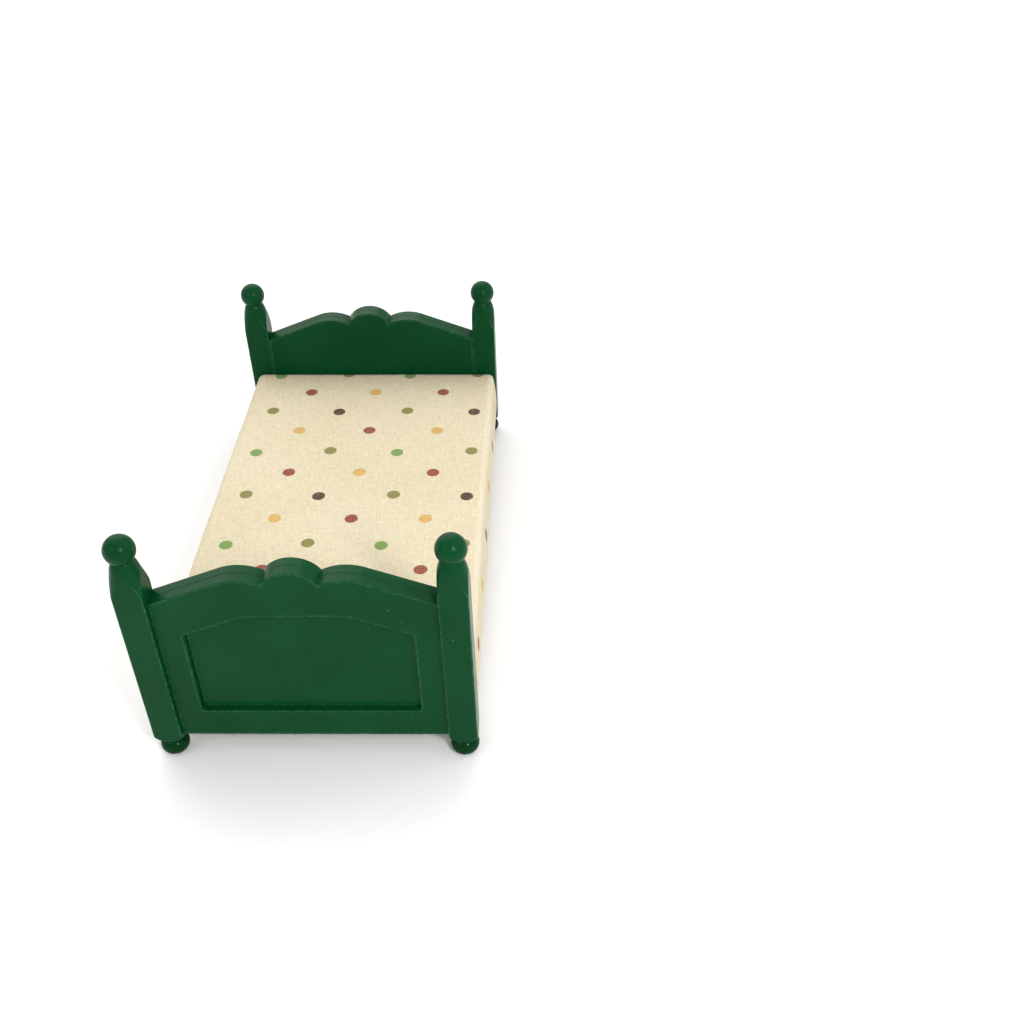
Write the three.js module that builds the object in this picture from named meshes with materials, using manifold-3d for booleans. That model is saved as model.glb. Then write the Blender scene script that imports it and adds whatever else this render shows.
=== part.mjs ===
// Miniature bed with four turned posts, a higher headboard, a lower footboard and a fabric-covered body.
// Units are millimetres and +Z is up. The bed stands on Z = 0 with its length along Y and its headboard
// at -Y. X runs across the bed, so "left" is -X and "right" is +X for someone facing the headboard.

import * as THREE from 'three';
import { mergeVertices } from 'three/addons/utils/BufferGeometryUtils.js';
import Module from 'manifold-3d';

const wasm = await Module();
wasm.setup();

// ---------------------------------------------------------------- driving dimensions

const postSpacingX = 73.2;        // between the axes of the two posts of one end
const postSpacingY = 141.2;       // between the headboard posts and the footboard posts
const postSide = 7.1;             // side of the square post
const postEdgeRadius = 0.3;       // eased long edges of the post
const footboardDrop = 12.9;       // how much lower the footboard end stands than the headboard end

const ballRadius = 3.68;
const ballCentreZ = 65.2;         // headboard end
const neckRadius = 2.45;          // flat top of the post, where the ball sits
const neckHeight = 3.15;          // the turned neck widens over this height to the post's own width
const shoulderHeight = 9.05;      // from the neck's top down to where the turning has run out

const bunRadius = 3.6;
const bunCentreZ = 2.35;
const bunHalfHeight = 2.85;       // of the whole ellipse; the floor cuts it flat at Z = 0
const bunNeckRadius = 2.2;
const postBottomZ = 5.7;
const postBottomRadius = 3.2;
const chamferTopZ = 7.75;         // where the turned lower end has run out into the square

const spigotRadius = 1.1;         // pegs turned on the balls and the feet
const spigotLength = 4.0;
const pegClearance = 0.1;         // around every peg and dowel

const leafThickness = 2.75;       // each board is two leaves glued face to face
const boardBottomZ = 7.2;
const lobeTopZ = 59.95;           // headboard end
const lobeHalfWidth = 6.6;
const lobeRise = 3.6;             // of the centre lobe above the notches beside it
const humpCentreX = 12.3;
const humpRadius = 12;
const humpBelowLobe = 2.2;
const crestSlope = 0.39;          // rise per millimetre along the straight outer stretches

const tongueThickness = 1.4;      // on both side edges of the inner leaf
const tongueDepth = 1.4;
const tongueEndMargin = 2.5;      // the tongue stops short of the board's bottom and crest

const panelHalfWidth = 26.75;
const panelBottomZ = 15.7;
const panelTopZ = 46.65;          // headboard end
const panelFlatHalfWidth = 9.5;
const panelCornerRadius = 0.8;
const panelThickness = 1.35;      // thinner than the leaf around it, so the panel lies sunken
const panelGap = 0.12;            // all round, between panel and window

const coverHalfWidth = 38.8;
const coverBottomZ = 5.2;
const coverTopZ = 25.1;
const coverEdgeRadius = 1.6;      // along the two long top edges
const clothThickness = 0.5;
const hemWidth = 7;               // turned in under the body and glued
const clothGap = 0.3;             // between the cloth and what it covers
const padThickness = 3;
const boxBoard = 3;
const deckThickness = 2;
const braceHeight = 9;

const dowelRadius = 1.25;
const dowelX = 20;
const dowelZ = 13;
const dowelDepthInLeaf = 2.2;

const liningThickness = 0.4;
const liningInset = 2.5;          // inside the cover's outer edges

// ---------------------------------------------------------------- worked-out values

const postHalf = postSide / 2;
const postX = postSpacingX / 2;
const postY = postSpacingY / 2;
const innerFaceX = postX - postHalf;          // faces of the posts that the boards meet
const bodyHalfLength = postY - postHalf;      // the boards' inner faces lie flush with the posts'
const boardThickness = 2 * leafThickness;
const spigotHoleRadius = spigotRadius + pegClearance;
const dowelHoleRadius = dowelRadius + pegClearance;
const seatBelowBall = Math.sqrt(ballRadius ** 2 - neckRadius ** 2);
const slopeAngle = Math.atan(crestSlope);
const windowDepth = leafThickness - panelThickness;

const ends = [
  { name: 'headboard', side: 'head', drop: 0, sign: -1 },
  { name: 'footboard', side: 'foot', drop: footboardDrop, sign: 1 },
];
const sides = [
  { name: 'left', sign: -1 },
  { name: 'right', sign: 1 },
];

// ---------------------------------------------------------------- materials

function paint(color) {
  return new THREE.MeshStandardMaterial({ color, roughness: 0.28, metalness: 0 });
}

function raw(color, roughness = 0.9) {
  return new THREE.MeshStandardMaterial({ color, roughness, metalness: 0 });
}

const greenPaint = 0x1c5a33;
const darkGreenPaint = 0x174d2b;
const limeWood = 0xcdb188;
const plywood = 0xc39d6a;
const beechWood = 0xd6b68a;
const cottonPrint = 0xe9dcbb;
const cottonWadding = 0xf3f0e8;
const greyCard = 0x8b8478;

// ---------------------------------------------------------------- helpers

const bed = new THREE.Group();

function place(name, geometry, material) {
  const mesh = new THREE.Mesh(geometry, material);
  mesh.name = name;
  bed.add(mesh);
}

function solidOf(geometry) {
  const bare = geometry.clone();
  bare.deleteAttribute('normal');
  bare.deleteAttribute('uv');
  const merged = mergeVertices(bare, 1e-4);
  const vertProperties = new Float32Array(merged.attributes.position.array);
  const triVerts = new Uint32Array(merged.index.array);
  return new wasm.Manifold(new wasm.Mesh({ numProp: 3, vertProperties, triVerts }));
}

function geometryOf(solid) {
  const { vertProperties, triVerts } = solid.getMesh();
  const geometry = new THREE.BufferGeometry();
  geometry.setAttribute('position', new THREE.BufferAttribute(new Float32Array(vertProperties), 3));
  geometry.setIndex(new THREE.BufferAttribute(new Uint32Array(triVerts), 1));
  geometry.computeVertexNormals();
  return geometry;
}

function boxBetween(low, high) {
  const size = low.map((value, i) => high[i] - value);
  const centre = low.map((value, i) => (high[i] + value) / 2);
  return new THREE.BoxGeometry(...size).translate(...centre);
}

// A turned shape: profile points are [radius, height] and start and end on the axis.
function turned(profile, x, y, segments = 32) {
  const points = profile.map(([r, z]) => new THREE.Vector2(r, z));
  return new THREE.LatheGeometry(points, segments).rotateX(Math.PI / 2).translate(x, y, 0);
}

function quadraticCurve(start, control, end, steps) {
  const vector = ([r, z]) => new THREE.Vector2(r, z);
  const curve = new THREE.QuadraticBezierCurve(vector(start), vector(control), vector(end));
  return curve.getPoints(steps).map((p) => [p.x, p.y]);
}

function ellipseArc(centreZ, radius, halfHeight, fromAngle, toAngle, steps) {
  const points = [];
  for (let i = 0; i <= steps; i += 1) {
    const angle = fromAngle + ((toAngle - fromAngle) * i) / steps;
    points.push([radius * Math.cos(angle), centreZ + halfHeight * Math.sin(angle)]);
  }
  return points;
}

// A round peg or hole along Y, between two Y values.
function rodAlongY(radius, x, z, yA, yB, segments = 20) {
  const length = Math.abs(yB - yA);
  return new THREE.CylinderGeometry(radius, radius, length, segments).translate(x, (yA + yB) / 2, z);
}

// An outline drawn in X and Z, made solid between two Y values.
function slab(shape, yA, yB, curveSegments = 14) {
  const depth = Math.abs(yB - yA);
  const geometry = new THREE.ExtrudeGeometry(shape, { depth, bevelEnabled: false, curveSegments });
  return geometry.rotateX(Math.PI / 2).translate(0, Math.max(yA, yB), 0);
}

// ---------------------------------------------------------------- outlines

function squareWithEasedEdges(half, radius) {
  const shape = new THREE.Shape();
  const inner = half - radius;
  shape.absarc(inner, inner, radius, 0, Math.PI / 2);
  shape.absarc(-inner, inner, radius, Math.PI / 2, Math.PI);
  shape.absarc(-inner, -inner, radius, Math.PI, 1.5 * Math.PI);
  shape.absarc(inner, -inner, radius, 1.5 * Math.PI, 2 * Math.PI);
  return shape;
}

// The crest: a straight slope, a hump, a notch, the centre lobe, and the same again mirrored.
function boardOutline(drop) {
  const lobeTop = lobeTopZ - drop;
  const lobeRadius = (lobeHalfWidth ** 2 + lobeRise ** 2) / (2 * lobeRise);
  const lobeAngle = Math.asin(lobeHalfWidth / lobeRadius);
  const humpCentreZ = lobeTop - humpBelowLobe - humpRadius;
  const notchAngle = Math.acos((humpCentreX - lobeHalfWidth) / humpRadius);
  const slopeStartX = humpCentreX + humpRadius * Math.sin(slopeAngle);
  const slopeStartZ = humpCentreZ + humpRadius * Math.cos(slopeAngle);
  const cornerZ = slopeStartZ - crestSlope * (innerFaceX - slopeStartX);

  const shape = new THREE.Shape();
  shape.moveTo(-innerFaceX, boardBottomZ);
  shape.lineTo(innerFaceX, boardBottomZ);
  shape.lineTo(innerFaceX, cornerZ);
  shape.absarc(humpCentreX, humpCentreZ, humpRadius, Math.PI / 2 - slopeAngle, Math.PI - notchAngle);
  shape.absarc(0, lobeTop - lobeRadius, lobeRadius, Math.PI / 2 - lobeAngle, Math.PI / 2 + lobeAngle);
  shape.absarc(-humpCentreX, humpCentreZ, humpRadius, notchAngle, Math.PI / 2 + slopeAngle);
  shape.lineTo(-innerFaceX, cornerZ);
  shape.closePath();
  return { shape, cornerZ };
}

// The sunken panel: square lower corners, sloping shoulders and a level middle.
function panelOutline(drop, inset) {
  const half = panelHalfWidth - inset;
  const bottom = panelBottomZ + inset;
  const top = panelTopZ - drop - inset;
  const arcCentreZ = top - humpRadius;
  const slopeStartX = panelFlatHalfWidth + humpRadius * Math.sin(slopeAngle);
  const slopeStartZ = arcCentreZ + humpRadius * Math.cos(slopeAngle);
  const cornerZ = slopeStartZ - crestSlope * (half - slopeStartX);
  const r = panelCornerRadius;
  const shoulder = Math.PI / 2 - slopeAngle;

  const shape = new THREE.Shape();
  shape.absarc(-half + r, bottom + r, r, Math.PI, 1.5 * Math.PI);
  shape.absarc(half - r, bottom + r, r, 1.5 * Math.PI, 2 * Math.PI);
  shape.lineTo(half, cornerZ);
  shape.absarc(panelFlatHalfWidth, arcCentreZ, humpRadius, shoulder, Math.PI / 2);
  shape.absarc(-panelFlatHalfWidth, arcCentreZ, humpRadius, Math.PI / 2, Math.PI - shoulder);
  shape.lineTo(-half, cornerZ);
  shape.closePath();
  return shape;
}

// A block seen from the foot of the bed, with its two long top edges rounded.
function blockOutline(halfWidth, bottom, top, radius) {
  const shape = new THREE.Shape();
  shape.moveTo(-halfWidth, bottom);
  shape.lineTo(halfWidth, bottom);
  shape.absarc(halfWidth - radius, top - radius, radius, 0, Math.PI / 2);
  shape.absarc(-halfWidth + radius, top - radius, radius, Math.PI / 2, Math.PI);
  shape.closePath();
  return shape;
}

// ---------------------------------------------------------------- posts, balls and feet

function postProfile(topZ) {
  const outside = Math.SQRT2 * postHalf + 0.05;
  const neckBottomZ = topZ - neckHeight;
  const neckFoot = [postHalf, neckBottomZ];
  return [
    [0, postBottomZ],
    ...quadraticCurve([postBottomRadius, postBottomZ], [4.1, 6.2], [outside, chamferTopZ], 6),
    ...quadraticCurve([outside, topZ - shoulderHeight], [4.2, topZ - 5.55], neckFoot, 6),
    ...quadraticCurve(neckFoot, [3.15, topZ - 1.05], [neckRadius, topZ], 6).slice(1),
    [0, topZ],
  ];
}

function post(end, side) {
  const x = side.sign * postX;
  const y = end.sign * postY;
  const topZ = ballCentreZ - end.drop - seatBelowBall;
  const prismShape = squareWithEasedEdges(postHalf, postEdgeRadius);
  const prism = new THREE.ExtrudeGeometry(prismShape, {
    depth: topZ - postBottomZ, bevelEnabled: false, curveSegments: 3,
  }).translate(x, y, postBottomZ);
  const spigotHole = (low, high) => solidOf(
    new THREE.CylinderGeometry(spigotHoleRadius, spigotHoleRadius, high - low, 20)
      .rotateX(Math.PI / 2).translate(x, y, (low + high) / 2),
  );

  const leafMidY = end.sign * (bodyHalfLength + leafThickness / 2);
  const grooveHalf = tongueThickness / 2 + pegClearance;
  const grooveX = side.sign * (innerFaceX + (tongueDepth + pegClearance) / 2);
  const { cornerZ } = boardOutline(end.drop);
  const grooveBottom = boardBottomZ + tongueEndMargin - pegClearance;
  const grooveTop = cornerZ - tongueEndMargin + pegClearance;
  const grooveSize = [tongueDepth + pegClearance + 0.02, 2 * grooveHalf, grooveTop - grooveBottom];
  const groove = new THREE.BoxGeometry(...grooveSize)
    .translate(grooveX - side.sign * 0.01, leafMidY, (grooveTop + grooveBottom) / 2);

  const solid = solidOf(prism)
    .intersect(solidOf(turned(postProfile(topZ), x, y, 40)))
    .subtract(spigotHole(topZ - spigotLength - pegClearance, topZ + 1))
    .subtract(spigotHole(postBottomZ - 1, postBottomZ + spigotLength + pegClearance))
    .subtract(solidOf(groove));
  place(`post_${end.side}_${side.name}`, geometryOf(solid), paint(greenPaint));
}

function ballFinial(end, side) {
  const centreZ = ballCentreZ - end.drop;
  const seatZ = centreZ - seatBelowBall;
  const seatAngle = Math.asin(-seatBelowBall / ballRadius);
  const profile = [
    [0, seatZ - spigotLength],
    [spigotRadius, seatZ - spigotLength],
    [spigotRadius, seatZ],
    ...ellipseArc(centreZ, ballRadius, ballRadius, seatAngle, Math.PI / 2, 14).slice(0, -1),
    [0, centreZ + ballRadius],
  ];
  const geometry = turned(profile, side.sign * postX, end.sign * postY);
  place(`ball_${end.side}_${side.name}`, geometry, paint(greenPaint));
}

function bunFoot(end, side) {
  const floorAngle = Math.asin(-bunCentreZ / bunHalfHeight);
  const neckAngle = Math.acos(bunNeckRadius / bunRadius);
  const profile = [
    [0, 0],
    ...ellipseArc(bunCentreZ, bunRadius, bunHalfHeight, floorAngle, neckAngle, 12),
    [bunNeckRadius, postBottomZ],
    [spigotRadius, postBottomZ],
    [spigotRadius, postBottomZ + spigotLength],
    [0, postBottomZ + spigotLength],
  ];
  const geometry = turned(profile, side.sign * postX, end.sign * postY);
  place(`bun_foot_${end.side}_${side.name}`, geometry, paint(darkGreenPaint));
}

// ---------------------------------------------------------------- boards

function innerLeaf(end) {
  const yInner = end.sign * bodyHalfLength;
  const yOuter = end.sign * (bodyHalfLength + leafThickness);
  const { shape, cornerZ } = boardOutline(end.drop);
  let solid = solidOf(slab(shape, yInner, yOuter));
  const yMid = (yInner + yOuter) / 2;
  const tongueLow = boardBottomZ + tongueEndMargin;
  const tongueHigh = cornerZ - tongueEndMargin;
  const tongueReach = innerFaceX + tongueDepth;
  const tongue = boxBetween(
    [-tongueReach, yMid - tongueThickness / 2, tongueLow],
    [tongueReach, yMid + tongueThickness / 2, tongueHigh],
  );
  solid = solid.add(solidOf(tongue));
  for (const side of sides) {
    const holeEnd = yInner + end.sign * (dowelDepthInLeaf + pegClearance);
    const holeStart = yInner - end.sign;
    const hole = rodAlongY(dowelHoleRadius, side.sign * dowelX, dowelZ, holeStart, holeEnd);
    solid = solid.subtract(solidOf(hole));
  }
  place(`${end.name}_inner_leaf`, geometryOf(solid), paint(greenPaint));
}

function outerLeaf(end) {
  const yInner = end.sign * (bodyHalfLength + leafThickness);
  const yOuter = end.sign * (bodyHalfLength + boardThickness);
  const window = slab(panelOutline(end.drop, 0), yInner - end.sign, yOuter + end.sign);
  const solid = solidOf(slab(boardOutline(end.drop).shape, yInner, yOuter)).subtract(solidOf(window));
  place(`${end.name}_outer_leaf`, geometryOf(solid), paint(greenPaint));
}

function panel(end) {
  const yInner = end.sign * (bodyHalfLength + leafThickness);
  const yOuter = end.sign * (bodyHalfLength + boardThickness - windowDepth);
  const geometry = slab(panelOutline(end.drop, panelGap), yInner, yOuter);
  place(`${end.name}_panel`, geometryOf(solidOf(geometry)), paint(greenPaint));
}

// ---------------------------------------------------------------- body

const clothInside = coverHalfWidth - clothThickness;
const boxHalfWidth = clothInside - clothGap;
const boxHalfLength = bodyHalfLength - clothThickness - clothGap;
const boxBottomZ = coverBottomZ + clothThickness + clothGap;
const padTopZ = coverTopZ - clothThickness - clothGap;
const deckTopZ = padTopZ - padThickness;
const deckBottomZ = deckTopZ - deckThickness;
const railInsideX = boxHalfWidth - boxBoard;

function fabricCover() {
  const shellInsideZ = coverTopZ - clothThickness;
  const insideRadius = coverEdgeRadius - clothThickness;
  const outerShape = blockOutline(coverHalfWidth, coverBottomZ, coverTopZ, coverEdgeRadius);
  const innerShape = blockOutline(clothInside, coverBottomZ + clothThickness, shellInsideZ, insideRadius);
  const insideLength = bodyHalfLength - clothThickness;
  const hemOpening = boxBetween(
    [hemWidth - coverHalfWidth, hemWidth - bodyHalfLength, coverBottomZ - 1],
    [coverHalfWidth - hemWidth, bodyHalfLength - hemWidth, coverBottomZ + clothThickness + 1],
  );
  let solid = solidOf(slab(outerShape, -bodyHalfLength, bodyHalfLength, 6))
    .subtract(solidOf(slab(innerShape, -insideLength, insideLength, 6)))
    .subtract(solidOf(hemOpening));
  for (const end of ends) {
    for (const side of sides) {
      const from = end.sign * (insideLength - 1);
      const to = end.sign * (bodyHalfLength + 1);
      const hole = rodAlongY(dowelHoleRadius, side.sign * dowelX, dowelZ, from, to);
      solid = solid.subtract(solidOf(hole));
    }
  }
  place('fabric_cover', geometryOf(solid), raw(cottonPrint, 0.95));
}

function topPad() {
  const outline = blockOutline(boxHalfWidth, deckTopZ, padTopZ, coverEdgeRadius - clothThickness - clothGap);
  place('top_pad', slab(outline, -boxHalfLength, boxHalfLength, 6), raw(cottonWadding, 1));
}

function boxFrame() {
  for (const side of sides) {
    const inner = side.sign * railInsideX;
    const outer = side.sign * boxHalfWidth;
    const board = boxBetween(
      [Math.min(inner, outer), -boxHalfLength, boxBottomZ],
      [Math.max(inner, outer), boxHalfLength, deckBottomZ],
    );
    place(`body_side_board_${side.name}`, board, raw(limeWood, 0.75));
  }
  for (const end of ends) {
    const inner = end.sign * (boxHalfLength - boxBoard);
    const outer = end.sign * boxHalfLength;
    let solid = solidOf(boxBetween(
      [-railInsideX, Math.min(inner, outer), boxBottomZ],
      [railInsideX, Math.max(inner, outer), deckBottomZ],
    ));
    for (const side of sides) {
      const hole = rodAlongY(dowelHoleRadius, side.sign * dowelX, dowelZ, inner - end.sign, outer + end.sign);
      solid = solid.subtract(solidOf(hole));
    }
    place(`body_end_board_${end.side}`, geometryOf(solid), raw(limeWood, 0.75));
  }
  const deck = boxBetween(
    [-boxHalfWidth, -boxHalfLength, deckBottomZ],
    [boxHalfWidth, boxHalfLength, deckTopZ],
  );
  place('body_deck', deck, raw(plywood, 0.75));
  const brace = boxBetween(
    [-railInsideX, -boxBoard / 2, deckBottomZ - braceHeight],
    [railInsideX, boxBoard / 2, deckBottomZ],
  );
  place('body_cross_brace', brace, raw(limeWood, 0.75));
}

function dowel(end, side) {
  const from = end.sign * (boxHalfLength - boxBoard);
  const to = end.sign * (bodyHalfLength + dowelDepthInLeaf);
  const geometry = rodAlongY(dowelRadius, side.sign * dowelX, dowelZ, from, to);
  place(`dowel_${end.side}_${side.name}`, geometry, raw(beechWood, 0.7));
}

function bottomLining() {
  const x = coverHalfWidth - liningInset;
  const y = bodyHalfLength - liningInset;
  const lining = boxBetween([-x, -y, coverBottomZ - liningThickness], [x, y, coverBottomZ]);
  place('bottom_lining', lining, raw(greyCard, 0.9));
}

// ---------------------------------------------------------------- assembly

for (const end of ends) {
  for (const side of sides) {
    post(end, side);
    ballFinial(end, side);
    bunFoot(end, side);
    dowel(end, side);
  }
  innerLeaf(end);
  outerLeaf(end);
  panel(end);
}
boxFrame();
topPad();
fabricCover();
bottomLining();

export default bed;
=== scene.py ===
# %% [markdown]
# # A painted dolls' house bed
#
# The bed stands on four turned posts. Between the posts at each end is a scalloped board, and between the
# boards sits a low body covered in spotted cotton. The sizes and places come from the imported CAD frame, in
# metres. This script gives every piece that shows its fine shape and its finish, and then lights the bed
# and sets the camera.

# %% Load the frame
import math

import bmesh
import bpy
from mathutils import Matrix, Vector, noise


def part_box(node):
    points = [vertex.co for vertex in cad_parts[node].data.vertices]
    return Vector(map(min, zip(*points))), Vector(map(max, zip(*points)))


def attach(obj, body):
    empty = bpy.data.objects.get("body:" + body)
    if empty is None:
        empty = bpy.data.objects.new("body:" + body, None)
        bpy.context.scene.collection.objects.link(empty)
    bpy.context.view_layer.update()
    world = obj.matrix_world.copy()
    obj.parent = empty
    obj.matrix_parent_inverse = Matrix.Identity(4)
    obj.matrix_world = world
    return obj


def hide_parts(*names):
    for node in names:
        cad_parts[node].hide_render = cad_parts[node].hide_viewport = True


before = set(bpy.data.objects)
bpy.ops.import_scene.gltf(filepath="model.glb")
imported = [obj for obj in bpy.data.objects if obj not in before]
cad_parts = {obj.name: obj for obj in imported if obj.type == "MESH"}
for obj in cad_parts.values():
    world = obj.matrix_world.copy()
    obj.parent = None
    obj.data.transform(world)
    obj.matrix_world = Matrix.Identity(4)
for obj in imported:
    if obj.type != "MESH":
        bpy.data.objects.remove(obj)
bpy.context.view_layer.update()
MM = 0.001

# %% [markdown]
# ## The camera
#
# The bed is seen from in front of its headboard, from a little to the right and well above. The camera's
# place and its three turns, in radians, are given directly, and its axes are built from them: first the
# heading, then the tilt down, then a slight roll.

# %% Camera
CAMERA_PLACE = Vector((59.283, -271.233, 233.730)) * MM
CAMERA_HEADING = -0.04536
CAMERA_TILT = 0.66784
CAMERA_ROLL = -0.03299
CAMERA_LENS = 42.387
SENSOR_WIDTH = 36
NEAREST_SEEN = 0.01


def camera_axes(heading, tilt, roll):
    ahead_level = Vector((math.sin(heading), math.cos(heading), 0))
    right_level = Vector((math.cos(heading), -math.sin(heading), 0))
    ahead = ahead_level * math.cos(tilt) - Vector((0, 0, 1)) * math.sin(tilt)
    up_level = ahead_level * math.sin(tilt) + Vector((0, 0, 1)) * math.cos(tilt)
    right = right_level * math.cos(roll) + up_level * math.sin(roll)
    up = up_level * math.cos(roll) - right_level * math.sin(roll)
    return right, up, ahead


def add_camera():
    data = bpy.data.cameras.new("camera")
    data.sensor_width = SENSOR_WIDTH
    data.lens = CAMERA_LENS
    data.clip_start = NEAREST_SEEN
    camera = bpy.data.objects.new("camera", data)
    right, up, ahead = camera_axes(CAMERA_HEADING, CAMERA_TILT, CAMERA_ROLL)
    turned = Matrix((right, up, -ahead)).transposed().to_4x4()
    camera.matrix_world = Matrix.Translation(CAMERA_PLACE) @ turned
    bpy.context.collection.objects.link(camera)
    bpy.context.scene.camera = camera
    return camera


camera = add_camera()
print("camera at", [round(v, 3) for v in camera.location])

# %% [markdown]
# ## Shader maths
#
# A material is a graph of nodes. Written by hand it is long and hard to read, so one small class wraps a
# node's output and lets Python's own operators add the Math nodes. Colours and vectors go through Mix and
# Vector Math nodes, because a Math node would turn a colour grey.

# %% Shader helpers
class Value:
    """A node's output that can be used in Python expressions."""

    def __init__(self, shader, socket):
        self.shader = shader
        self.socket = socket

    def math(self, operation, *others):
        return self.shader.node("ShaderNodeMath", {"operation": operation}, [self, *others])

    def __add__(self, other):
        return self.math("ADD", other)

    def __sub__(self, other):
        return self.math("SUBTRACT", other)

    def __mul__(self, other):
        return self.math("MULTIPLY", other)

    def __truediv__(self, other):
        return self.math("DIVIDE", other)

    __radd__ = __add__
    __rmul__ = __mul__

    def __rsub__(self, other):
        return self.shader.node("ShaderNodeMath", {"operation": "SUBTRACT"}, [other, self])

    def step(self, low, high):
        """0 below low, 1 above high, smooth between."""
        settings = {"interpolation_type": "SMOOTHSTEP"}
        values = {"Value": self, "From Min": low, "From Max": high}
        return self.shader.node("ShaderNodeMapRange", settings, values)

    def is_near(self, whole_number):
        """1 where the value is this whole number, give or take a quarter."""
        return self.math("COMPARE", whole_number, 0.25)


class Shader:
    """One material and its nodes."""

    def __init__(self, name):
        self.material = bpy.data.materials.new(name)
        self.material.use_nodes = True
        self.tree = self.material.node_tree
        self.surface = self.tree.nodes["Principled BSDF"]

    def node(self, kind, settings=None, inputs=None, output=0):
        node = self.tree.nodes.new(kind)
        for key, value in (settings or {}).items():
            setattr(node, key, value)
        named = inputs if isinstance(inputs, dict) else dict(enumerate(inputs or []))
        for key, value in named.items():
            self.connect(node.inputs[key], value)
        return Value(self, node.outputs[output])

    def connect(self, socket, value):
        if isinstance(value, Value):
            self.tree.links.new(value.socket, socket)
        elif socket.type == "RGBA" and len(value) == 3:
            socket.default_value = (*value, 1.0)
        else:
            socket.default_value = value

    def set(self, name, value):
        self.connect(self.surface.inputs[name], value)

    def mix(self, amount, first, second):
        settings = {"data_type": "RGBA"}
        return self.node("ShaderNodeMix", settings, {0: amount, 6: first, 7: second}, output=2)

    def tint(self, colour, amount):
        """Multiplies a colour by a number that varies over the surface."""
        grey = self.node("ShaderNodeCombineColor", None, [amount, amount, amount])
        settings = {"data_type": "RGBA", "blend_type": "MULTIPLY"}
        return self.node("ShaderNodeMix", settings, {0: 1.0, 6: colour, 7: grey}, output=2)

    def noise(self, place, scale, detail=2.0, roughness=0.5):
        values = {"Vector": place, "Scale": scale, "Detail": detail, "Roughness": roughness}
        return self.node("ShaderNodeTexNoise", None, values)

    def stretched(self, place, scale):
        return self.node("ShaderNodeMapping", None, {"Vector": place, "Scale": scale})

    def object_place(self):
        return self.node("ShaderNodeTexCoord", output="Object")

    def mark(self, name):
        """A number that the mesh carries at each point."""
        return self.node("ShaderNodeAttribute", {"attribute_name": name}, output="Fac")

    def bump(self, height, distance, strength=1.0):
        values = {"Height": height, "Distance": distance, "Strength": strength}
        self.set("Normal", self.node("ShaderNodeBump", None, values))


print("shader helpers ready")

# %% [markdown]
# ## Gloss paint
#
# Two coats of dark green gloss over smooth wood. It isn't one flat green: the coat is a little thicker and
# darker in places, it has the faint dimple that brushed or dipped paint dries to, it is duller where fingers
# rub it, and it is a lighter green along every arris: partly where the paint has thinned and rubbed, and
# partly a painted highlight for the light that the rounded arris catches. The arrises are marked on the
# meshes as an attribute called rim, so the same paint works on all of them, and an attribute called crease
# marks the dark line where two glued leaves meet. A few pale specks of dust are caught in the paint.
#
# Noise scales are in waves per metre, so 900 gives spots about a millimetre across.

# %% Paint material
GLUE_LINE_GREEN = (0.0008, 0.008, 0.0025)
DUST_GREEN = (0.10, 0.26, 0.13)
PAINT_GLOSS = 0.085
PAINT_RELIEF = 0.00004


def dust_specks(paint, place):
    """1 on a few small specks, 0 elsewhere."""
    cells = paint.node("ShaderNodeTexVoronoi", None, {"Vector": place, "Scale": 210.0})
    dusty_patches = paint.noise(place, 90.0, 1.0).step(0.60, 0.62)
    return (1.0 - cells.step(0.03, 0.06)) * dusty_patches


def gloss_paint(name, deep, body, edge_wear_and_highlight, dullness):
    paint = Shader(name)
    place = paint.object_place()
    cloudy = paint.noise(place, 55.0, 3.0)
    worn = paint.noise(place, 900.0, 4.0, 0.65).step(0.42, 0.66)
    speck = dust_specks(paint, place)
    colour = paint.mix(cloudy.step(0.35, 0.68), deep, body)
    # Lighter green on the arrises: partly rubbed wear, partly painted highlight where the rounded arris
    # catches the light.
    colour = paint.mix(paint.mark("rim") * (0.10 + worn * 0.50), colour, edge_wear_and_highlight)
    colour = paint.mix(paint.mark("crease") * 0.85, colour, GLUE_LINE_GREEN)
    paint.set("Base Color", paint.mix(speck * 0.5, colour, DUST_GREEN))

    scuffs = paint.noise(paint.stretched(place, (700.0, 500.0, 60.0)), 1.0, 3.0).step(0.55, 0.80)
    paint.set("Roughness", dullness + cloudy * 0.10 + scuffs * 0.08 + speck * 0.2)
    paint.set("Specular IOR Level", PAINT_GLOSS)
    dimples = paint.noise(place, 650.0, 2.0)
    ripples = paint.noise(place, 190.0, 1.0)
    paint.bump(dimples * 0.25 + ripples + speck * 0.6, PAINT_RELIEF, 0.55)
    return paint.material


GREEN_PAINT = gloss_paint("green_gloss_paint", deep=(0.0006, 0.044, 0.0112), body=(0.0010, 0.052, 0.0140),
                          edge_wear_and_highlight=(0.040, 0.160, 0.070), dullness=0.22)
# The feet get a darker copy of the same green: painted shade for where they stand low under the bed.
SHADED_FOOT_PAINT = gloss_paint("foot_gloss_paint", deep=(0.0005, 0.028, 0.0066), body=(0.0008, 0.036, 0.0086),
                         edge_wear_and_highlight=(0.025, 0.100, 0.045), dullness=0.08)
print("paints:", GREEN_PAINT.name, SHADED_FOOT_PAINT.name)

# %% [markdown]
# ## Spotted cotton
#
# The cloth is a plain weave of slightly uneven threads in unbleached cream, with spots printed on it. The
# spots stand in rows, each row half a step along from the one before, and the colours repeat every four
# rows. Each colour was printed by its own screen, and the screens were a little out of line, so every colour
# carries its own small offset. The cloth's own UV map is measured in metres on the flat cut, so the print
# and the weave keep their true size where the cloth turns down over the edges.
#
# The layout of the print comes first: where each colour's spots stand, and how much of each ink is there.

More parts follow.
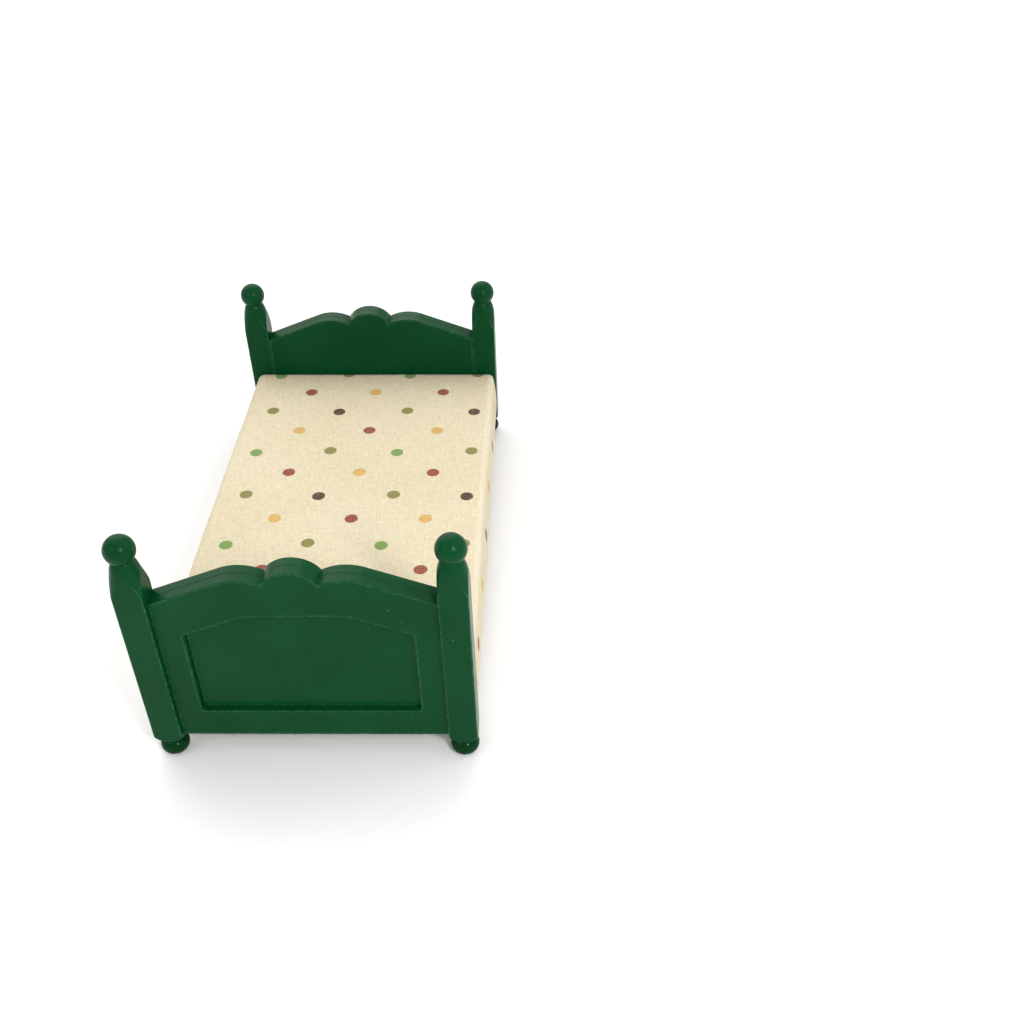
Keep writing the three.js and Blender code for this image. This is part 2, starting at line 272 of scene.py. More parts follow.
# %% The printed spots
SPOT_ACROSS = 21.21 * MM
SPOT_ROW = 10.83 * MM
SPOT_RADIUS = 1.86 * MM
SPOT_EDGE = 0.10 * MM
FIRST_SPOT = (-29.83 * MM, 66.39 * MM)
INK_COLOURS = {
    "green": (0.180, 0.320, 0.078),
    "olive": (0.235, 0.225, 0.058),
    "brown": (0.082, 0.038, 0.018),
    "rust": (0.290, 0.056, 0.033),
    "ochre": (0.660, 0.405, 0.120),
}
SCREEN_OFFSETS = {
    "green": (-1.05 * MM, -0.97 * MM),
    "olive": (0.0, 0.0),
    "brown": (-0.19 * MM, -0.65 * MM),
    "rust": (-0.08 * MM, -0.13 * MM),
    "ochre": (-0.52 * MM, -0.06 * MM),
}


def spot_choice(row_of_four, even_spot):
    """How much of each ink belongs to this spot: 1 for its own colour and 0 for the others."""
    first = row_of_four.is_near(0)
    second = row_of_four.is_near(1)
    third = row_of_four.is_near(2)
    fourth = row_of_four.is_near(3)
    odd_spot = 1.0 - even_spot
    return {
        "green": first * even_spot,
        "olive": first * odd_spot + third * even_spot,
        "brown": third * odd_spot,
        "rust": second * even_spot + fourth * odd_spot,
        "ochre": second * odd_spot + fourth * even_spot,
    }


def printed_spots(cloth, flat, across, along):
    """Where a spot is, as 1 and 0, and the ink that the nearest spot is printed in."""
    column = (across - FIRST_SPOT[0]) / SPOT_ACROSS
    row = (FIRST_SPOT[1] - along) / SPOT_ROW
    row_number = row.math("ROUND")
    half_step = row_number.math("FLOORED_MODULO", 2.0) * 0.5
    spot_number = (column - half_step).math("ROUND")
    even_spot = spot_number.math("FLOORED_MODULO", 2.0).is_near(0)
    choice = spot_choice(row_number.math("FLOORED_MODULO", 4.0), even_spot)

    shift_across = sum(choice[name] * SCREEN_OFFSETS[name][0] for name in choice)
    shift_along = sum(choice[name] * SCREEN_OFFSETS[name][1] for name in choice)
    off_across = (column - half_step - spot_number) * SPOT_ACROSS - shift_across
    off_along = (row_number - row) * SPOT_ROW - shift_along
    distance = (off_across * off_across + off_along * off_along).math("SQRT")
    ragged = (cloth.noise(flat, 1500.0, 2.0) - 0.5) * (0.35 * MM)
    spot = 1.0 - (distance + ragged).step(SPOT_RADIUS - SPOT_EDGE, SPOT_RADIUS + SPOT_EDGE)

    ink = INK_COLOURS["olive"]
    for name in ("green", "brown", "rust", "ochre"):
        ink = cloth.mix(choice[name], ink, INK_COLOURS[name])
    return spot, ink


print("inks:", list(INK_COLOURS))

# %% [markdown]
# ## The cloth under the print
#
# At each crossing either the warp or the weft thread lies on top, turn about, and that is a product of two
# sines. The threads wander a little, some are thicker than others, and brown flecks of seed coat are left in
# unbleached cotton. Where a thread is on top, the ink is a little thinner.

# %% Spotted cotton material
THREAD_PITCH = 0.52 * MM
THREAD_WANDER = 1.1 * MM
THREAD_RELIEF = 0.10 * MM
CREAM_DARK = (0.750, 0.648, 0.440)
CREAM_PALE = (0.780, 0.685, 0.482)
SEED_FLECK = (0.44, 0.31, 0.16)
# A painted highlight: a paler cream band on the right-hand top rounding of the cloth, where it catches the
# light.
HIGHLIGHT_CREAM = (0.88, 0.82, 0.70)
HIGHLIGHT_BAND_STARTS = (36.6 * MM, 37.8 * MM)
HIGHLIGHT_BAND_ENDS = (39.2 * MM, 40.2 * MM)


def plain_weave(cloth, flat, across, along):
    """Height of the threads: 1 on the crown of the upper thread and 0 in the gaps."""
    wander = (cloth.noise(flat, 330.0, 3.0, 0.6) - 0.5) * THREAD_WANDER
    warp_place = (across + wander) / THREAD_PITCH
    weft_place = (along - wander) / THREAD_PITCH
    crossing = (warp_place * math.pi).math("SINE") * (weft_place * math.pi).math("SINE")
    warp_crown = 1.0 - (warp_place * math.tau).math("COSINE")
    weft_crown = 1.0 - (weft_place * math.tau).math("COSINE")
    over = crossing.step(-0.35, 0.35)
    return (warp_crown * over + weft_crown * (1.0 - over)) * 0.5


def thick_and_thin(cloth, flat):
    """Streaks of thicker thread, both ways of the cloth, round a middle of 0."""
    slub_across = cloth.noise(cloth.stretched(flat, (260.0, 2100.0, 1.0)), 1.0, 2.0)
    slub_along = cloth.noise(cloth.stretched(flat, (2100.0, 260.0, 1.0)), 1.0, 2.0)
    return (slub_across + slub_along) * 0.5 - 0.5


def spotted_cotton():
    cloth = Shader("spotted_cotton")
    flat = cloth.node("ShaderNodeUVMap", {"uv_map": "cut"})
    across = cloth.node("ShaderNodeSeparateXYZ", None, [flat], output="X")
    along = cloth.node("ShaderNodeSeparateXYZ", None, [flat], output="Y")
    weave = plain_weave(cloth, flat, across, along)
    slubs = thick_and_thin(cloth, flat)

    mottle = cloth.noise(flat, 950.0, 3.0, 0.7) - 0.5
    tone = cloth.noise(flat, 24.0, 2.0).step(0.3, 0.7)
    flecks = cloth.noise(flat, 900.0, 3.0, 0.6).step(0.62, 0.78)
    colour = cloth.mix(tone, CREAM_DARK, CREAM_PALE)
    colour = cloth.tint(colour, 0.77 + weave * 0.16 + slubs * 0.50 + mottle * 0.30)
    colour = cloth.mix(flecks * 0.36, colour, SEED_FLECK)
    # Painted highlight on the right-hand top rounding only, where the cloth's edge catches the light.
    right_edge_highlight = across.step(*HIGHLIGHT_BAND_STARTS) * (1.0 - across.step(*HIGHLIGHT_BAND_ENDS))
    colour = cloth.mix(right_edge_highlight * 0.25, colour, HIGHLIGHT_CREAM)

    spot, ink = printed_spots(cloth, flat, across, along)
    ink = cloth.tint(ink, 0.74 + weave * 0.26 + slubs * 1.1)
    ink_cover = (0.97 + slubs * 0.7 - weave * 0.05).math("MINIMUM", 1.0)
    cloth.set("Base Color", cloth.mix(spot * ink_cover, colour, ink))
    cloth.set("Roughness", 0.86 - spot * 0.10)
    cloth.set("Specular IOR Level", 0.12)
    cloth.set("Sheen Weight", 0.08)
    cloth.set("Sheen Roughness", 0.5)
    cloth.bump(weave + slubs * 1.6, THREAD_RELIEF, 0.75)
    return cloth.material


SPOTTED_COTTON = spotted_cotton()
print("cloth nodes:", len(SPOTTED_COTTON.node_tree.nodes))

# %% [markdown]
# ## The hidden woods, the pad and the card
#
# Under the cloth the body is a small box of bare limewood and thin plywood with a soft pad on top, closed
# underneath by a piece of grey card. Little of it shows, but each has its own finish: straight grain for the
# wood, felted fibres for the pad and fine fibres for the card.

# %% Wood, pad and card materials
def bare_wood(name, pale, dark, grain_scale):
    wood = Shader(name)
    place = wood.object_place()
    streaks = wood.noise(wood.stretched(place, grain_scale), 1.0, 4.0, 0.6)
    fine = wood.noise(wood.stretched(place, [v * 4 for v in grain_scale]), 1.0, 2.0)
    wood.set("Base Color", wood.mix(streaks.step(0.3, 0.7) * 0.8 + fine * 0.2, pale, dark))
    wood.set("Roughness", 0.62 + fine * 0.2)
    wood.bump(streaks + fine * 0.5, 0.00005, 0.6)
    return wood.material


def fibres(name, pale, dark, scale):
    soft = Shader(name)
    place = soft.object_place()
    coarse = soft.noise(place, scale, 5.0, 0.65)
    fine = soft.noise(place, scale * 5, 3.0, 0.6)
    soft.set("Base Color", soft.mix(coarse.step(0.3, 0.7), dark, pale))
    soft.set("Roughness", 0.88 + fine * 0.1)
    soft.bump(coarse + fine * 0.6, 0.00008, 0.7)
    return soft.material


LIME_PALE, LIME_DARK = (0.62, 0.45, 0.26), (0.50, 0.33, 0.17)
LIMEWOOD = bare_wood("limewood", LIME_PALE, LIME_DARK, (900.0, 60.0, 900.0))
END_LIMEWOOD = bare_wood("limewood_across", LIME_PALE, LIME_DARK, (60.0, 900.0, 900.0))
PLYWOOD = bare_wood("plywood", (0.56, 0.36, 0.16), (0.42, 0.25, 0.10), (700.0, 45.0, 2500.0))
BEECH = bare_wood("beech", (0.66, 0.46, 0.27), (0.52, 0.32, 0.16), (1500.0, 150.0, 1500.0))
PAD_WADDING = fibres("pad_wadding", (0.86, 0.83, 0.76), (0.74, 0.70, 0.62), 320.0)
GREY_CARD = fibres("grey_card", (0.27, 0.24, 0.20), (0.20, 0.175, 0.145), 700.0)
print("materials so far:", len(bpy.data.materials))

# %% [markdown]
# ## Mesh helpers
#
# Every new piece starts as a bmesh. It is merged, its faces are turned outwards, its arrises are marked for
# the paint, and then it becomes an object at the origin that stands for one or more CAD nodes.

# %% Mesh helpers
def mark_rims(mesh_data, low=9.0, high=22.0):
    """Writes rim: 1 where the surface turns sharply at a vertex, 0 where it is flat or gently curved."""
    layers = mesh_data.verts.layers.float
    layer = layers.get("rim") or layers.new("rim")
    for vertex in mesh_data.verts:
        turns = [math.degrees(edge.calc_face_angle(0.0)) for edge in vertex.link_edges]
        sharpest = max(turns, default=0.0)
        vertex[layer] = min(max((sharpest - low) / (high - low), 0.0), 1.0)


def make_object(name, mesh_data, material, smooth_under=40.0):
    mesh = bpy.data.meshes.new(name)
    mesh_data.to_mesh(mesh)
    mesh_data.free()
    mesh.materials.append(material)
    mesh.shade_smooth()
    mesh.set_sharp_from_angle(angle=math.radians(smooth_under))
    piece = bpy.data.objects.new(name, mesh)
    bpy.context.collection.objects.link(piece)
    return piece


def stand_for(piece, *nodes):
    """The piece rides with the bed and is shown in place of these CAD nodes."""
    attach(piece, "root")
    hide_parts(*nodes)
    return piece


def node_size(node):
    low, high = (Vector(corner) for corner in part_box(node))
    return low, high, (low + high) / 2


def turn_on_lathe(profile, steps):
    """Spins a profile of (radius, height) points round the Z axis and closes it on the axis."""
    turned = bmesh.new()
    points = [turned.verts.new((radius, 0, height)) for radius, height in profile]
    for first, second in zip(points, points[1:]):
        turned.edges.new((first, second))
    bmesh.ops.spin(turned, geom=turned.verts[:] + turned.edges[:], cent=(0, 0, 0), axis=(0, 0, 1),
                   dvec=(0, 0, 0), angle=math.tau, steps=steps, use_merge=True, use_duplicate=False)
    bmesh.ops.remove_doubles(turned, verts=turned.verts, dist=1e-7)
    bmesh.ops.recalc_face_normals(turned, faces=turned.faces)
    return turned


def curve_points(start, control, end, steps):
    """Points along a curve that leaves start towards control and arrives at end from control."""
    points = []
    for i in range(steps + 1):
        t = i / steps
        parts = zip(start, control, end)
        points.append(tuple((1 - t) ** 2 * a + 2 * t * (1 - t) * b + t ** 2 * c for a, b, c in parts))
    return points


print("mesh helpers ready")

# %% [markdown]
# ## The posts
#
# A real post is a square stick that was put in a lathe: the turning tool rounded its top into a neck and
# its bottom into a shallow cup, and left the flats between. So it is made the same way round: a full lathe
# shape is spun first, and then four flats are planed on it by pulling every point that lies outside the
# rounded square back onto it. Where the flats meet the turned neck, that leaves the arched tops that the
# real post has, with soft edges.

# %% Posts
POST_CORNER = 0.32 * MM
POST_SOFT = 0.10 * MM
NECK_RADIUS = 2.45 * MM
NECK_HEIGHT = 3.15 * MM
SHOULDER_HEIGHT = 9.05 * MM
SHOULDER_BULGE = (4.2 * MM, 5.55 * MM)
NECK_BULGE = (3.15 * MM, 1.05 * MM)
CUP_RADIUS = 3.2 * MM
CUP_HEIGHT = 2.05 * MM
CUP_BULGE = (4.1 * MM, 0.5 * MM)


def square_reach(x, y, half, corner):
    """Distance from the middle to a rounded square's edge, in the direction of (x, y)."""
    longer, shorter = max(abs(x), abs(y)), min(abs(x), abs(y))
    length = math.hypot(longer, shorter)
    across, up = longer / length, shorter / length
    flat = half / across
    inner = half - corner
    if flat * up <= inner:
        return flat
    along = inner * (across + up)
    return along + math.sqrt(max(along * along - 2 * inner * inner + corner * corner, 0))


def soft_least(first, second, blend):
    """The smaller of two lengths, with a small rounding where they are nearly equal."""
    share = min(max(0.5 + 0.5 * (second - first) / blend, 0), 1)
    return second + (first - second) * share - blend * share * (1 - share)


def post_profile(bottom, top, half):
    """From the middle of the cup, up the outside of the stick, to the middle of the neck."""
    widest = math.sqrt(2) * half
    neck_foot = (half, top - NECK_HEIGHT)
    shoulder = (widest, top - SHOULDER_HEIGHT)
    cup_rim = (widest, bottom + CUP_HEIGHT)
    cup = curve_points((CUP_RADIUS, bottom), (CUP_BULGE[0], bottom + CUP_BULGE[1]), cup_rim, 22)
    stick = [(widest, cup_rim[1] + (shoulder[1] - cup_rim[1]) * i / 16) for i in range(1, 16)]
    flare = curve_points(shoulder, (SHOULDER_BULGE[0], top - SHOULDER_BULGE[1]), neck_foot, 24)
    neck = curve_points(neck_foot, (NECK_BULGE[0], top - NECK_BULGE[1]), (NECK_RADIUS, top), 16)[1:]
    return [(0, bottom), *cup, *stick, *flare, *neck, (0, top)]


def post(node):
    low, high, middle = node_size(node)
    half = (high.x - low.x) / 2
    turned = turn_on_lathe(post_profile(low.z, high.z, half), steps=192)
    for vertex in turned.verts:
        radius = math.hypot(vertex.co.x, vertex.co.y)
        if radius > 1e-6:
            reach = square_reach(vertex.co.x, vertex.co.y, half, POST_CORNER)
            planed = soft_least(radius, reach, POST_SOFT) / radius
            vertex.co.x *= planed
            vertex.co.y *= planed
    bmesh.ops.translate(turned, verts=turned.verts, vec=(middle.x, middle.y, 0))
    mark_rims(turned, 8.0, 20.0)
    return stand_for(make_object(f"turned_{node}", turned, GREEN_PAINT, 50.0), node)


ENDS = ("head", "foot")
SIDES = ("left", "right")
posts = [post(f"post_{end}_{side}") for end in ENDS for side in SIDES]
print("posts:", [len(piece.data.vertices) for piece in posts])

# %% [markdown]
# ## The balls and the bun feet
#
# Each ball is turned with a flat seat that sits on the neck of its post, and each foot is a flattened bun
# with a short neck. The paint rounds the foot's bottom edge.

# %% Balls
BALL_RADIUS = 3.68 * MM
BALL_STEPS = 64


def ball(node):
    _, high, middle = node_size(node)
    centre = high.z - BALL_RADIUS
    seat = -math.acos(NECK_RADIUS * 0.97 / BALL_RADIUS)
    arc = [seat + (math.pi / 2 - seat) * i / BALL_STEPS for i in range(BALL_STEPS + 1)]
    profile = [(BALL_RADIUS * math.cos(a), centre + BALL_RADIUS * math.sin(a)) for a in arc]
    profile[-1] = (0, centre + BALL_RADIUS)
    turned = turn_on_lathe([(0, profile[0][1]), *profile], steps=112)
    bmesh.ops.translate(turned, verts=turned.verts, vec=(middle.x, middle.y, 0))
    mark_rims(turned)
    return stand_for(make_object(f"turned_{node}", turned, GREEN_PAINT, 50.0), node)


balls = [ball(f"ball_{end}_{side}") for end in ENDS for side in SIDES]
print("balls:", len(balls))

# %% Bun feet
FOOT_NECK = 2.2 * MM
FOOT_MIDDLE = 2.35 * MM
FOOT_HALF_HEIGHT = 2.85 * MM
FOOT_ROUNDING = 0.35 * MM
NECK_SUNK = 0.4 * MM
BULGE_STEPS = 40


def bun_foot(node):
    low, high, middle = node_size(node)
    widest = (high.x - low.x) / 2
    post_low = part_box(node.replace("bun_foot", "post"))[0][2]
    top_angle = math.acos(FOOT_NECK / widest)
    floor_angle = -math.asin((FOOT_MIDDLE - FOOT_ROUNDING) / FOOT_HALF_HEIGHT)
    arc = [floor_angle + (top_angle - floor_angle) * i / BULGE_STEPS for i in range(BULGE_STEPS + 1)]
    bulge = [(widest * math.cos(a), FOOT_MIDDLE + FOOT_HALF_HEIGHT * math.sin(a)) for a in arc]
    edge_radius, edge_height = bulge[0]
    base = (edge_radius - 1.2 * FOOT_ROUNDING, 0)
    rounding = curve_points(base, (edge_radius - 0.35 * FOOT_ROUNDING, 0), (edge_radius, edge_height), 8)
    neck_top = post_low + NECK_SUNK
    neck = [(FOOT_NECK * 0.985, bulge[-1][1] + 0.1 * MM), (FOOT_NECK, neck_top)]
    turned = turn_on_lathe([(0, 0), *rounding[:-1], *bulge, *neck, (0, neck_top)], steps=112)
    bmesh.ops.translate(turned, verts=turned.verts, vec=(middle.x, middle.y, 0))
    mark_rims(turned)
    return stand_for(make_object(f"turned_{node}", turned, SHADED_FOOT_PAINT, 50.0), node)


feet = [bun_foot(f"bun_foot_{end}_{side}") for end in ENDS for side in SIDES]
print("feet:", len(feet))

# %% [markdown]
# ## The head and foot boards
#
# Each board is two leaves cut to one outline and glued face to face, and the outer leaf is a frame round a
# thinner, sunken panel. The CAD outlines are right, but paint never leaves an edge sharp. So each leaf is a
# copy of its CAD node with its loose triangles merged back into flat faces, and its arrises are bevelled.
#
# Two marks tell the paint what to do. Wet paint draws back from an arris and dries in a thin bead beside it.
# The bead is not shaped: the flat faces are inset twice, and the points between the two rings carry a pale
# line, a painted highlight for the light the bead catches. Along the glue line the leaves stay square, and
# the points of the seam are marked as a crease. A cut beside the seam keeps the dark line narrow.

# %% Boards
OUTER_EASE = 0.13 * MM
PANEL_EASE = 0.10 * MM
GLUE_LINE_HALF = 0.17 * MM
RIDGE_INSET = 0.42 * MM
RIDGE_WIDTH = 0.25 * MM
RIDGE_HIGHLIGHT = 0.8
FLAT_ANGLE = math.radians(1.5)
ARRIS_ANGLE = math.radians(24)


def is_arris(edge):
    return len(edge.link_faces) == 2 and edge.calc_face_angle(0.0) > ARRIS_ANGLE


def on_seam(vertex, seam_y):
    return abs(vertex.co.y - seam_y) < 0.01 * MM


def paint_ridge(leaf, seam_y):
    """Insets the flat faces twice and returns the points of the line where wet paint gathered and dried."""
    upright = [face for face in leaf.faces if abs(face.normal.y) > 0.999]
    flat = [face for face in upright if abs(face.calc_center_median().y - seam_y) > GLUE_LINE_HALF]
    settings = {"use_boundary": True, "use_even_offset": True, "depth": 0}
    outer = bmesh.ops.inset_region(leaf, faces=flat, thickness=RIDGE_INSET, **settings)["faces"]
    inner = bmesh.ops.inset_region(leaf, faces=flat, thickness=RIDGE_WIDTH, **settings)["faces"]
    return {v for face in outer for v in face.verts} & {v for face in inner for v in face.verts}


def board_leaf(node, seam_y, ease=OUTER_EASE):
    leaf = bmesh.new()
    leaf.from_mesh(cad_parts[node].data)
    for mark in ("rim", "crease"):
        leaf.verts.layers.float.new(mark)
    bmesh.ops.remove_doubles(leaf, verts=leaf.verts, dist=2e-6)
    bmesh.ops.dissolve_limit(leaf, angle_limit=FLAT_ANGLE, verts=leaf.verts, edges=leaf.edges)
    arrises = [edge for edge in leaf.edges if is_arris(edge)]
    eased = [edge for edge in arrises if not all(on_seam(vertex, seam_y) for vertex in edge.verts)]
    bmesh.ops.bevel(leaf, geom=eased, offset=ease, offset_type="OFFSET", segments=3, profile=0.5,
                    affect="EDGES", material=-1, clamp_overlap=True)
    bmesh.ops.remove_doubles(leaf, verts=leaf.verts, dist=1e-7)
    for beside in (-GLUE_LINE_HALF, GLUE_LINE_HALF):
        everything = leaf.verts[:] + leaf.edges[:] + leaf.faces[:]
        bmesh.ops.bisect_plane(leaf, geom=everything, dist=1e-7, plane_co=(0, seam_y + beside, 0),
                               plane_no=(0, 1, 0))
    ridge = paint_ridge(leaf, seam_y)
    mark_rims(leaf, 14.0, 24.0)
    rim, crease = (leaf.verts.layers.float[mark] for mark in ("rim", "crease"))
    for vertex in leaf.verts:
        vertex[crease] = 1.0 if on_seam(vertex, seam_y) else 0.0
        # The bead's points get a painted highlight through the rim mark.
        if vertex in ridge:
            vertex[rim] = RIDGE_HIGHLIGHT
    piece = stand_for(make_object(f"eased_{node}", leaf, GREEN_PAINT, 35.0), node)
    weighted = piece.modifiers.new("even shading", "WEIGHTED_NORMAL")
    weighted.keep_sharp = True
    return piece


boards = []
for board_name in ("headboard", "footboard"):
    inner_low, inner_high, inner_middle = node_size(f"{board_name}_inner_leaf")
    outer_middle = node_size(f"{board_name}_outer_leaf")[2]
    seam = inner_high.y if outer_middle.y > inner_middle.y else inner_low.y
    boards.append(board_leaf(f"{board_name}_inner_leaf", seam))
    boards.append(board_leaf(f"{board_name}_outer_leaf", seam))
    boards.append(board_leaf(f"{board_name}_panel", seam, PANEL_EASE))
print("board pieces:", [(piece.name, len(piece.data.polygons)) for piece in boards])

# %% [markdown]
# ## The cotton cover
#
# One piece of cloth is wrapped round the body like a parcel: it runs up one side, over the top and down the
# other side, and its edges are turned in underneath and glued. Its ends fold down between the body and the
# boards. It starts as a flat grid, the cut cloth, which gets its UV map in metres, and then every point
# is wrapped to its place. The sides swell a little, as cloth over a padded block does, and the top dips
# slightly to one side.

# %% Cotton cover
COVER_SHIFT = 0.55 * MM
COVER_HALF_WIDTH = 38.75 * MM
TOP_ROUNDING = 1.6 * MM
BOTTOM_ROUNDING = 1.2 * MM
SIDE_SWELL = 0.75 * MM
HEM_TURN = 7.0 * MM
END_ROUNDING = 1.1 * MM
END_TURN = 4.5 * MM
FOLD_DEPTH = 8.0 * MM
END_CALM = 6.0 * MM
TOP_DIP = 0.0085
CLOTH_THICKNESS = 0.45 * MM

cover_low, cover_high, _ = node_size("fabric_cover")
TOP_HEIGHT = cover_high.z
HEM_HEIGHT = cover_low.z
SIDE_DROP = TOP_HEIGHT - HEM_HEIGHT - TOP_ROUNDING - BOTTOM_ROUNDING
TOP_REACH = COVER_HALF_WIDTH - TOP_ROUNDING
TOP_ARC = math.pi / 2 * TOP_ROUNDING
BOTTOM_ARC = math.pi / 2 * BOTTOM_ROUNDING
CUT_HALF_WIDTH = TOP_REACH + TOP_ARC + SIDE_DROP + BOTTOM_ARC + HEM_TURN
END_REACH = cover_high.y - END_ROUNDING
END_ARC = math.pi / 2 * END_ROUNDING
CUT_HALF_LENGTH = END_REACH + END_ARC + END_TURN


def section(distance):
    """Where the cloth lies across the body, this far from the middle of the top, and which way it faces."""
    if distance <= TOP_REACH:
        return distance, TOP_HEIGHT
    distance -= TOP_REACH
    if distance <= TOP_ARC:
        angle = distance / TOP_ROUNDING
        return (TOP_REACH + TOP_ROUNDING * math.sin(angle),
                TOP_HEIGHT - TOP_ROUNDING * (1 - math.cos(angle)))
    distance -= TOP_ARC
    if distance <= SIDE_DROP:
        swell = SIDE_SWELL * math.sin(math.pi * distance / SIDE_DROP) ** 0.8
        return COVER_HALF_WIDTH + swell, TOP_HEIGHT - TOP_ROUNDING - distance
    distance -= SIDE_DROP
    if distance <= BOTTOM_ARC:
        angle = distance / BOTTOM_ROUNDING
        return (COVER_HALF_WIDTH - BOTTOM_ROUNDING * (1 - math.cos(angle)),
                HEM_HEIGHT + BOTTOM_ROUNDING * (1 - math.sin(angle)))
    distance -= BOTTOM_ARC
    return COVER_HALF_WIDTH - BOTTOM_ROUNDING - distance, HEM_HEIGHT


def wrapped(across, along):
    """The place on the body of a point of the flat cut; past the body's end the cloth folds inwards."""
    side, height = section(abs(across))
    side = math.copysign(side, across)
    past_end = abs(along) - END_REACH
    if past_end <= 0:
        reach, inset = abs(along), 0.0
    elif past_end <= END_ARC:
        angle = past_end / END_ROUNDING
        reach = END_REACH + END_ROUNDING * math.sin(angle)
        inset = END_ROUNDING * (1 - math.cos(angle))
    else:
        reach = END_REACH + END_ROUNDING
        inset = END_ROUNDING + past_end - END_ARC
    share = inset / FOLD_DEPTH
    inner_side = max(min(side, COVER_HALF_WIDTH - FOLD_DEPTH), FOLD_DEPTH - COVER_HALF_WIDTH)
    inner_height = max(min(height, TOP_HEIGHT - FOLD_DEPTH), HEM_HEIGHT + FOLD_DEPTH)
    side += (inner_side - side) * share
    height += (inner_height - height) * share
    return Vector((side + COVER_SHIFT, math.copysign(reach, along), height))


def uneven(place, size, amount):
    """A smooth random push, the same on every run."""
    return noise.noise(place / size) * amount


def cotton_cover():
    cloth = bmesh.new()
    bmesh.ops.create_grid(cloth, x_segments=128, y_segments=132, size=1.0)
    bmesh.ops.scale(cloth, verts=cloth.verts, vec=(CUT_HALF_WIDTH, CUT_HALF_LENGTH, 1))
    cut = cloth.loops.layers.uv.new("cut")
    for face in cloth.faces:
        for loop in face.loops:
            loop[cut].uv = loop.vert.co.xy
    for vertex in cloth.verts:
        flat_place = vertex.co.copy()
        place = wrapped(flat_place.x, flat_place.y)
        on_side = min(max((abs(flat_place.x) - TOP_REACH) / TOP_ARC, 0), 1)
        off_end = min(max((END_REACH - abs(flat_place.y)) / END_CALM, 0), 1)
        hollows = uneven(flat_place, 22 * MM, 0.10 * MM) + uneven(flat_place, 7 * MM, 0.03 * MM)
        place.z += hollows * (1 - on_side)
        place.x += uneven(flat_place + Vector((0, 0, 1)), 16 * MM, 0.22 * MM) * on_side * off_end
        place.z -= TOP_DIP * place.x * (1 - on_side)
        vertex.co = place
    return cloth


cover = make_object("cotton_cover", cotton_cover(), SPOTTED_COTTON, 75.0)
thickness = cover.modifiers.new("cloth thickness", "SOLIDIFY")
thickness.thickness = CLOTH_THICKNESS
thickness.offset = -1
stand_for(cover, "fabric_cover")
2 * CUT_HALF_WIDTH
print("cut cloth, mm:", round(2 * CUT_HALF_WIDTH / MM, 1), round(2 * CUT_HALF_LENGTH / MM, 1))

# %% [markdown]
# ## The pad
#
# The pad is a slab of pressed wadding that lies on the plywood and gives the top its soft edges. It is a
# block with rounded edges whose surface is lifted and dropped a little, as felted fibres are.

# %% Pad
PAD_CLEARANCE = Vector((0.4, 0.4, 0.2)) * MM
PAD_ROUNDING = 1.1 * MM
LONG_EDGE = 8 * MM


def wadding_pad():
    low, high, middle = node_size("top_pad")
    pad = bmesh.new()
    bmesh.ops.create_cube(pad, size=1.0)
    bmesh.ops.scale(pad, vec=high - low - PAD_CLEARANCE, verts=pad.verts)
    bmesh.ops.bevel(pad, geom=pad.edges[:], offset=PAD_ROUNDING, offset_type="OFFSET", segments=3,
                    profile=0.5, affect="EDGES", material=-1, clamp_overlap=True)
    long_edges = [edge for edge in pad.edges if edge.calc_length() > LONG_EDGE]
    bmesh.ops.subdivide_edges(pad, edges=long_edges, cuts=40, use_grid_fill=True)
    bmesh.ops.translate(pad, verts=pad.verts, vec=middle)
    for vertex in pad.verts:
        vertex.co.z += uneven(vertex.co, 6 * MM, 0.07 * MM)
    return pad


pad_piece = stand_for(make_object("wadding_pad", wadding_pad(), PAD_WADDING, 60.0), "top_pad")
print("pad:", len(pad_piece.data.polygons), "faces")

# %% [markdown]
# ## Finishes for the pieces that stay as they are
#
# The boards of the body, its deck and brace, the dowels and the card are plain sawn, round or cut pieces, so
# the CAD shapes are their real shapes, and they only need their finish.

# %% Finishes on the CAD nodes
FINISHES = {
    "body_side_board": LIMEWOOD,
    "body_end_board": END_LIMEWOOD,
    "body_cross_brace": END_LIMEWOOD,
    "body_deck": PLYWOOD,
    "dowel": BEECH,
    "bottom_lining": GREY_CARD,
}
for node_name, node_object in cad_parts.items():
    for start, finish in FINISHES.items():
        if node_name.startswith(start):
            node_object.data.materials.clear()
            node_object.data.materials.append(finish)
print("finished nodes:", [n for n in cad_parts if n.startswith(tuple(FINISHES))])

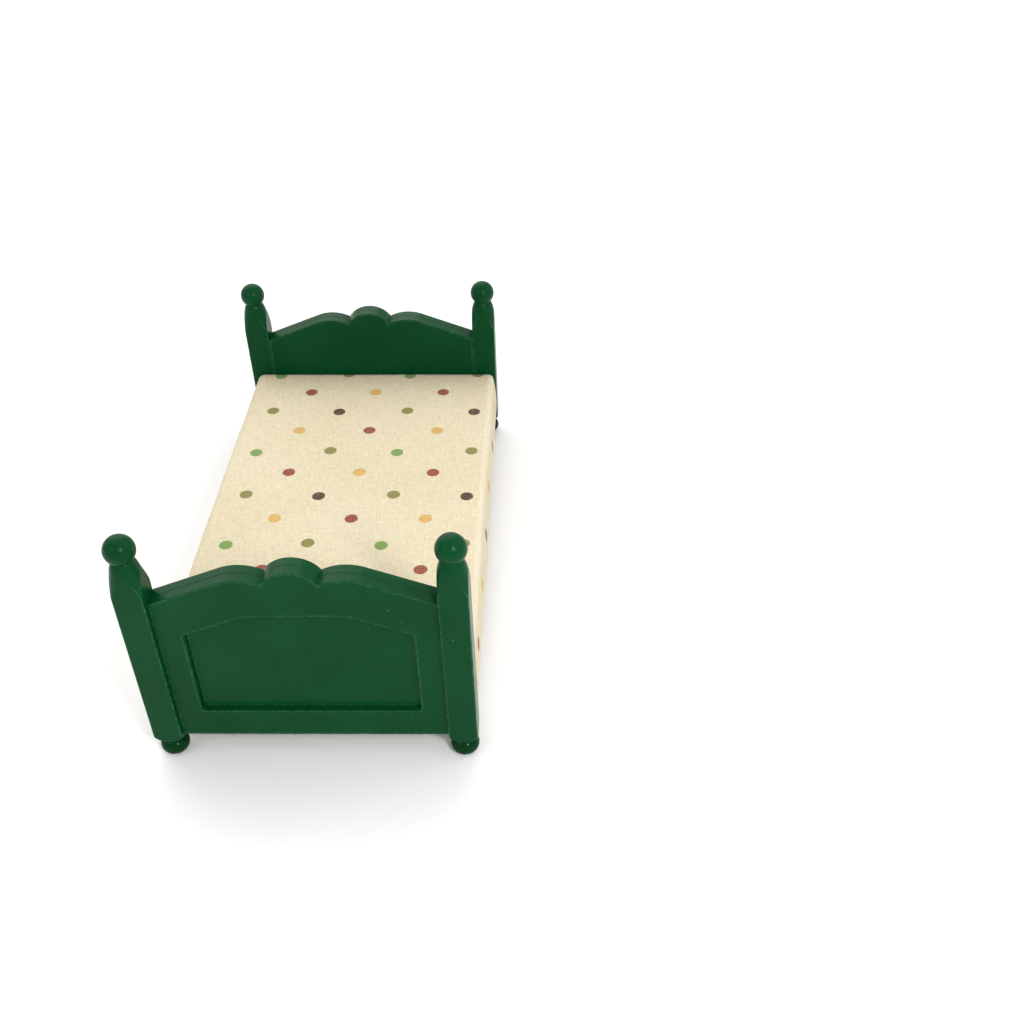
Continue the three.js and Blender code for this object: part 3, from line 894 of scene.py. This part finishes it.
# %% [markdown]
# ## Floor and light
#
# The bed stands on a plain white floor in even, bright light. A wide soft lamp hangs above and behind the
# bed, so that the tops of the crests catch it and the shadow falls softly forwards. A weaker one on the right
# fills in the right-hand slopes, and two small lamps in front put the bright spots on the balls and feet.

# %% Floor and lights
FLOOR_HALF = 6.0


def white_floor():
    sheet = bmesh.new()
    bmesh.ops.create_grid(sheet, x_segments=1, y_segments=1, size=FLOOR_HALF)
    floor_finish = Shader("white_floor")
    place = floor_finish.object_place()
    mottle = floor_finish.noise(place, 6.0, 2.0)
    floor_finish.set("Base Color", floor_finish.mix(mottle, (0.86, 0.86, 0.86), (0.88, 0.88, 0.88)))
    floor_finish.set("Roughness", 0.9)
    floor_finish.set("Specular IOR Level", 0.1)
    floor = make_object("floor", sheet, floor_finish.material)
    return floor


def soft_lamp(name, place, target, size, power):
    data = bpy.data.lights.new(name, "AREA")
    data.shape = "RECTANGLE"
    data.size, data.size_y = size
    data.energy = power
    lamp = bpy.data.objects.new(name, data)
    lamp.location = place
    lamp.rotation_euler = (Vector(target) - Vector(place)).to_track_quat("-Z", "Y").to_euler()
    bpy.context.collection.objects.link(lamp)
    return lamp


def even_sky(strength):
    world = bpy.data.worlds.new("even_sky")
    world.use_nodes = True
    background = world.node_tree.nodes["Background"]
    background.inputs["Color"].default_value = (1.0, 1.0, 1.0, 1.0)
    background.inputs["Strength"].default_value = strength
    bpy.context.scene.world = world


white_floor()
even_sky(0.78)
soft_lamp("window", place=(-0.30, 0.80, 0.95), target=(0, 0, 0), size=(1.60, 1.40), power=11.5)
soft_lamp("right_side", place=(0.95, 0.15, 0.75), target=(0, 0, 0.03), size=(0.50, 0.50), power=1.6)
soft_lamp("camera_side", place=(0.205, -0.37, 0.32), target=(0, -0.07, 0.04), size=(0.055, 0.11), power=1.05)
soft_lamp("left_side", place=(-0.36, -0.42, 0.46), target=(0, 0, 0.03), size=(0.12, 0.12), power=0.35)
bpy.context.scene.view_settings.view_transform = "Standard"
